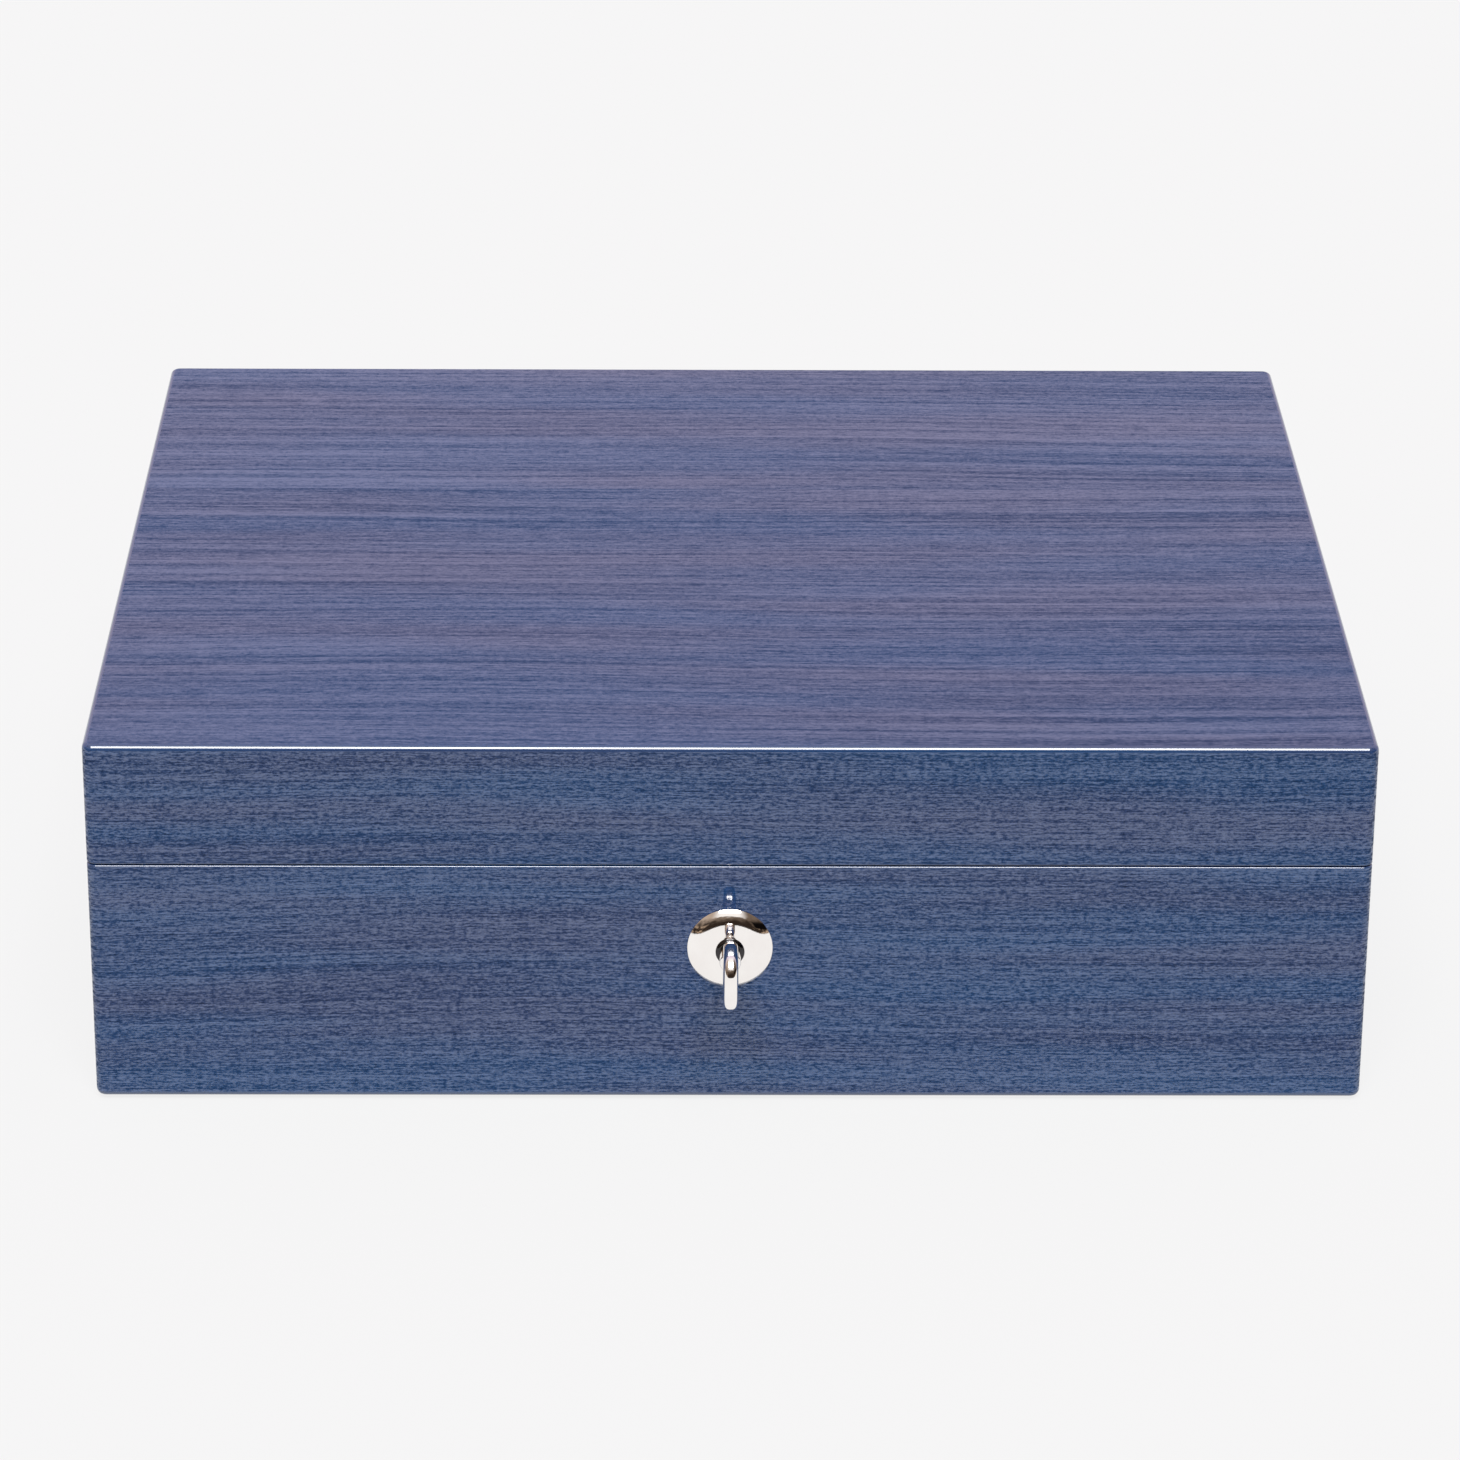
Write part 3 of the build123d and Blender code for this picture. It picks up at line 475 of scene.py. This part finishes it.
def suede_pad(name, node, glued_up):
    """A foam pad under suede: a flat back, and a face that swells between its pulled-in edges.
    Where a and b run from -1 to 1 across the pad, the face's height over the back is its
    thickness times edge_share + rise_share * sqrt((1 - a^14) * (1 - b^14)), before the stuffing
    swells it. The corners are pulled in by up to corner_pull."""
    low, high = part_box(node)
    thick = high.z - low.z
    cells_x, cells_y = 76, 64
    edge_share, rise_share, corner_pull = 0.20, 0.62, 0.015
    a = np.linspace(-1, 1, cells_x + 1)[:, None]
    b = np.linspace(-1, 1, cells_y + 1)[None, :]
    corner = 1 - corner_pull * (a * b) ** 6
    x = (low.x + high.x) / 2 + (high.x - low.x) / 2 * a * corner
    y = (low.y + high.y) / 2 + (high.y - low.y) / 2 * b * corner
    rise = thick * (edge_share + rise_share * np.sqrt((1 - a**14) * (1 - b**14)))
    face = np.stack([x, y, low.z + rise], -1)
    back = np.stack([x, y, low.z + 0 * rise], -1)
    if glued_up:
        face[..., 2], back[..., 2] = high.z - rise, high.z
    index = np.arange((cells_x + 1) * (cells_y + 1)).reshape(cells_x + 1, cells_y + 1)
    quad = np.stack([index[:-1, :-1], index[1:, :-1], index[1:, 1:], index[:-1, 1:]], -1).reshape(-1, 4)
    rim = np.concatenate([index[:, 0], index[-1, 1:], index[-2::-1, -1], index[0, -2:0:-1]])
    rim_next = np.roll(rim, -1)
    total = index.size
    wall = np.stack([rim + total, rim_next + total, rim_next, rim], -1)
    faces = np.concatenate([quad, quad[:, ::-1] + total, wall])
    if glued_up:
        faces = faces[:, ::-1]
    mesh = bpy.data.meshes.new(name)
    mesh.from_pydata(np.concatenate([face.reshape(-1, 3), back.reshape(-1, 3)]), [], faces.tolist())
    mesh.polygons.foreach_set("use_smooth", np.ones(len(mesh.polygons), bool))
    mesh.update()
    made = bpy.data.objects.new(name, mesh)
    scene.collection.objects.link(made)
    held = made.vertex_groups.new(name="glued")
    held.add([int(i) for i in range(total, 2 * total)], 1.0, "REPLACE")
    held.add([int(i) for i in rim], 1.0, "REPLACE")
    swell(made, limit=0.16 * thick)
    smooth = made.modifiers.new("smooth", "SUBSURF")
    smooth.levels = smooth.render_levels = 1
    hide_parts(node)
    return made


def swell(pad, limit):
    """The cover under the foam's pressure, glued at its back and rim, for twenty steps of cloth.
    No point ends further than limit from where it began."""
    start = np.empty(len(pad.data.vertices) * 3)
    pad.data.vertices.foreach_get("co", start)
    cloth = pad.modifiers.new("cloth", "CLOTH")
    cloth.settings.quality = 6
    cloth.settings.mass = 0.25
    cloth.settings.tension_stiffness = 25
    cloth.settings.compression_stiffness = 25
    cloth.settings.bending_stiffness = 0.6
    cloth.settings.use_pressure = True
    cloth.settings.uniform_pressure_force = 4.0
    cloth.settings.vertex_group_mass = "glued"
    cloth.settings.effector_weights.gravity = 0.0
    cloth.collision_settings.use_collision = False
    cloth.point_cache.frame_start, cloth.point_cache.frame_end = 1, 20
    for step in range(1, 21):
        scene.frame_set(step)
    evaluated = pad.evaluated_get(bpy.context.evaluated_depsgraph_get())
    end = np.empty_like(start)
    evaluated.data.vertices.foreach_get("co", end)
    pad.modifiers.remove(cloth)
    scene.frame_set(1)
    move = (end - start).reshape(-1, 3)
    far = np.linalg.norm(move, axis=1, keepdims=True)
    move *= np.minimum(1, limit / np.maximum(far, 1e-9))
    pad.data.vertices.foreach_set("co", start + move.ravel())
    pad.data.update()


# =====================================================================
# The box
# =====================================================================
def finish_nodes():
    """Gives every carried-over node its finish."""
    wood = veneer("blue_veneer")
    wood_side = veneer("blue_veneer_side_boards", rim_along_depth=True)
    plate = nickel("polished_nickel")
    hinge_plate = nickel("satin_nickel", 0.12, brushed=True)
    steel = bright_metal("lock_steel", colour(0.42, 0.42, 0.43), colour(0.58, 0.58, 0.58), 0.22)
    brass = bright_metal("lock_brass", colour(0.55, 0.38, 0.16), colour(0.76, 0.58, 0.30), 0.18)
    cloth = suede("grey_suede")
    chosen = {"base_bottom_panel": plain_board("floor_board"), "base_felt": felt("dark_felt")}
    for side in ("front", "back", "left", "right"):
        boards = wood_side if side in ("left", "right") else wood
        chosen[f"base_{side}_wall"] = chosen[f"lid_{side}_rail"] = boards
        chosen[f"base_{side}_liner"] = chosen[f"lid_{side}_liner"] = cloth
    chosen["lid_top_panel"] = wood
    for node in ("lock_case", "lock_cover", "lock_case_screws", "lock_cover_screws", "detent_spring",
                 "cam_screw", "drive_cam"):
        chosen[node] = steel
    for node in ("lock_cylinder", "lock_plug", "lock_bolt"):
        chosen[node] = brass
    chosen["key_stem"] = plate
    for node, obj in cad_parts.items():
        for slot in obj.material_slots:
            slot.material = chosen.get(node, hinge_plate)
    return plate, cloth


def add_pieces(plate, cloth):
    """The pieces whose shape is finer than the plain ones that they stand for."""
    # near-black nickel for the nose ring: painted shade standing for the dark recess round the key's
    # barrel
    dark = nickel_painted_recess_shade("dark_nickel")
    metal = (
        (rose(), plate, "nickel", "base"),
        (nose_ring(), dark, "dark_nickel", "base"),
        (key_bow(), plate, "nickel", "key"),
    )
    for piece, surface, slot, body in metal:
        piece.data.materials.append(surface)
        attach(piece, body)
    pads = (("floor_suede_pad", "floor_pad", False, "base"), ("lid_suede_pad", "lid_pad", True, "lid"))
    for name, node, glued_up, body in pads:
        pad = suede_pad(name, node, glued_up)
        pad.data.materials.append(cloth)
        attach(pad, body)


# =====================================================================
# The studio
# =====================================================================
def floor():
    """A wide pale floor, mostly evenly lit, that takes a faint contact shadow."""
    reach, table_front = 12.0, -0.73
    corners = np.array([
        [[-reach, table_front, 0], [reach, table_front, 0]],
        [[-reach, reach, 0], [reach, reach, 0]],
    ])
    made = grid_mesh("studio_floor", corners - np.array([0, 0, 0.00005]), smooth=False)
    white, t = material("studio_white")
    t.principled(
        Base_Color=colour(floor_albedo, floor_albedo, floor_albedo),
        Roughness=1.0,
        Specular_IOR_Level=0.0,
        Emission_Color=colour(1, 1, 1),
        Emission_Strength=floor_glow,
    )
    made.data.materials.append(white)


def surroundings():
    """What the box stands in: a dim warm room in front above the floor, a pale backdrop behind,
    and one large soft light high in front. The eye itself sees only the pale backdrop."""
    world = bpy.data.worlds.new("studio")
    scene.world = world
    t = Tree(world)
    dim_wall, tan_wall = colour(0.17, 0.125, 0.095), colour(0.50, 0.39, 0.31)
    room_floor, furniture = colour(0.030, 0.020, 0.015), colour(0.42, 0.30, 0.21)
    black, daylight = colour(0.004, 0.003, 0.003), colour(1.0, 0.97, 0.95)
    lamplight, backdrop = colour(16.0, 16.0, 16.3), colour(0.76, 0.65, 0.78)
    x, y, z = t.split(t.node("ShaderNodeTexCoord", out=0))
    wide = abs(x)
    behind = y.step(-0.15, 0.35)
    # the room in front: a low dark part with things standing in it, tan walls to both sides
    place = t.join(x, y, z)
    clutter = t.noise(place, (0.16, 0.5, 0.10), 2.0, 0.6, (2, 4, 1))
    high_wall = (z + (clutter - 0.5) * 0.5).step(0.12, 0.50)
    wall = t.blend((x * -1.0).step(-0.2, 0.7), dim_wall, tan_wall)
    room = t.blend(high_wall, room_floor, wall)
    things = clutter.step(0.52, 0.60) * (1 - z.step(0.10, 0.30)) * wide.step(0.40, 0.60)
    room = t.blend(things, room, furniture)
    dark_block = x.step(0.45, 0.56) * (1 - z.step(0.24, 0.40)) * z.step(0.06, 0.09)
    room = t.blend(dark_block, room, black)
    glow = (1 - wide.step(0.22, 0.52)) * (z + (clutter - 0.5) * 0.25).step(0.40, 0.50)
    room = t.blend(glow, room, daylight)
    lamp = (1 - wide.step(0.26, 0.32)) * z.step(0.64, 0.70) * (1 - z.step(0.915, 0.93))
    room = t.blend(lamp, room, lamplight)
    lit = t.blend(behind, room, backdrop)
    seen = t.node("ShaderNodeLightPath", out=0)
    final = t.blend(seen, lit, colour(pale, pale, pale))
    background = t.node("ShaderNodeBackground", None, {"Color": final, "Strength": 1.0})
    t.node("ShaderNodeOutputWorld", None, {"Surface": background})


def camera():
    """Looks down on the front, turned and rolled by under a degree."""
    forward = Vector((
        math.sin(camera_yaw) * math.cos(camera_pitch),
        math.cos(camera_yaw) * math.cos(camera_pitch),
        -math.sin(camera_pitch),
    ))
    level = Vector((math.cos(camera_yaw), -math.sin(camera_yaw), 0))
    upward = level.cross(forward)
    right = math.cos(camera_roll) * level + math.sin(camera_roll) * upward
    above = -math.sin(camera_roll) * level + math.cos(camera_roll) * upward
    data = bpy.data.cameras.new("camera")
    data.lens, data.sensor_width = camera_lens, camera_sensor
    data.clip_start, data.clip_end = 0.05, 60
    made = bpy.data.objects.new("camera", data)
    scene.collection.objects.link(made)
    turn = Matrix((right, above, -forward)).transposed()
    made.matrix_world = Matrix.Translation(camera_place) @ turn.to_4x4()
    scene.camera = made


scene.view_settings.view_transform = "Standard"
plate_finish, suede_finish = finish_nodes()
add_pieces(plate_finish, suede_finish)
floor()
surroundings()
camera()
